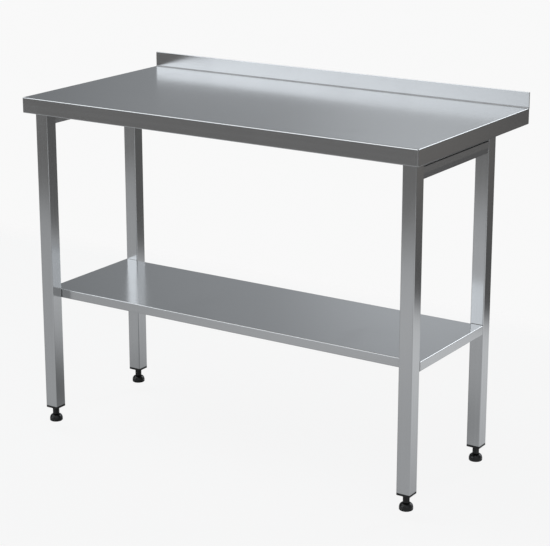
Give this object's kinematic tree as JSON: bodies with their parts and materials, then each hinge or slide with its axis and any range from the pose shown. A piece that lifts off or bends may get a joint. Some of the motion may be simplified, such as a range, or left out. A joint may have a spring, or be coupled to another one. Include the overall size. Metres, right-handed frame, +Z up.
{
  "type": "stainless work table",
  "caption": "Free-standing stainless kitchen work table with a low rear upstand, a lower shelf between square tube legs and screw-adjusted levelling feet.",
  "frame": {"origin": "on the floor, under the middle of the worktop", "axes": "+X along the table's length, +Y towards the wall and the upstand, +Z up"},
  "size_m": [1.2, 0.6, 0.968],
  "materials": {
    "stainless_sheet": "brushed along the length",
    "stainless_tube": "brushed along the tube",
    "stainless_frame": "mill finish",
    "stainless_fastener": "bright",
    "rivet_nut": "zinc plated",
    "board": "raw board",
    "plug_plastic": "satin black",
    "foot_plastic": "moulded black",
    "sole_rubber": "ribbed black",
    "insert_brass": "turned",
    "spindle_steel": "zinc plated thread"
  },
  "bodies": {
    "table": {"worktop_skin": "stainless_sheet", "underlay_board": "board", "front_channel": "stainless_frame", "rear_channel": "stainless_frame", "wall_channel": "stainless_frame", "left_bearer": "stainless_frame", "right_bearer": "stainless_frame", "left_rail": "stainless_frame", "right_rail": "stainless_frame", "worktop_screws": "stainless_fastener", "leg_fl": "stainless_tube", "leg_fr": "stainless_tube", "leg_bl": "stainless_tube", "leg_br": "stainless_tube", "leg_cap_fl": "stainless_frame", "leg_cap_fr": "stainless_frame", "leg_cap_bl": "stainless_frame", "leg_cap_br": "stainless_frame", "shelf": "stainless_sheet", "shelf_stiffener": "stainless_frame", "shelf_bolts": "stainless_fastener", "shelf_nuts": "rivet_nut", "plug_fl": "plug_plastic", "plug_fr": "plug_plastic", "plug_bl": "plug_plastic", "plug_br": "plug_plastic", "insert_fl": "insert_brass", "insert_fr": "insert_brass", "insert_bl": "insert_brass", "insert_br": "insert_brass"},
    "foot_pad_fl": {"pad_fl": "foot_plastic", "sole_fl": "sole_rubber"},
    "foot_screw_fl": {"spindle_fl": "spindle_steel", "hub_fl": "foot_plastic"},
    "foot_pad_fr": {"pad_fr": "foot_plastic", "sole_fr": "sole_rubber"},
    "foot_screw_fr": {"spindle_fr": "spindle_steel", "hub_fr": "foot_plastic"},
    "foot_pad_bl": {"pad_bl": "foot_plastic", "sole_bl": "sole_rubber"},
    "foot_screw_bl": {"spindle_bl": "spindle_steel", "hub_bl": "foot_plastic"},
    "foot_pad_br": {"pad_br": "foot_plastic", "sole_br": "sole_rubber"},
    "foot_screw_br": {"spindle_br": "spindle_steel", "hub_br": "foot_plastic"}
  },
  "joints": [
    {"name": "foot_fl_lift", "type": "slide", "parent": "table", "child": "foot_pad_fl", "axis": [0, 0, -1], "range_m": [0, 0.025]},
    {"name": "foot_fl_turn", "type": "hinge", "parent": "foot_pad_fl", "child": "foot_screw_fl", "pos_m": [-0.562, -0.252, 0.03], "axis": [0, 0, -1], "range_deg": [0, 6000]},
    {"name": "foot_fr_lift", "type": "slide", "parent": "table", "child": "foot_pad_fr", "axis": [0, 0, -1], "range_m": [0, 0.025]},
    {"name": "foot_fr_turn", "type": "hinge", "parent": "foot_pad_fr", "child": "foot_screw_fr", "pos_m": [0.562, -0.252, 0.03], "axis": [0, 0, -1], "range_deg": [0, 6000]},
    {"name": "foot_bl_lift", "type": "slide", "parent": "table", "child": "foot_pad_bl", "axis": [0, 0, -1], "range_m": [0, 0.025]},
    {"name": "foot_bl_turn", "type": "hinge", "parent": "foot_pad_bl", "child": "foot_screw_bl", "pos_m": [-0.562, 0.129, 0.03], "axis": [0, 0, -1], "range_deg": [0, 6000]},
    {"name": "foot_br_lift", "type": "slide", "parent": "table", "child": "foot_pad_br", "axis": [0, 0, -1], "range_m": [0, 0.025]},
    {"name": "foot_br_turn", "type": "hinge", "parent": "foot_pad_br", "child": "foot_screw_br", "pos_m": [0.562, 0.129, 0.03], "axis": [0, 0, -1], "range_deg": [0, 6000]}
  ],
  "couplings": [
    {"joint": "foot_fl_lift", "follows": "foot_fl_turn", "m_per_rad": 0.00023873},
    {"joint": "foot_fr_lift", "follows": "foot_fr_turn", "m_per_rad": 0.00023873},
    {"joint": "foot_bl_lift", "follows": "foot_bl_turn", "m_per_rad": 0.00023873},
    {"joint": "foot_br_lift", "follows": "foot_br_turn", "m_per_rad": 0.00023873}
  ]
}
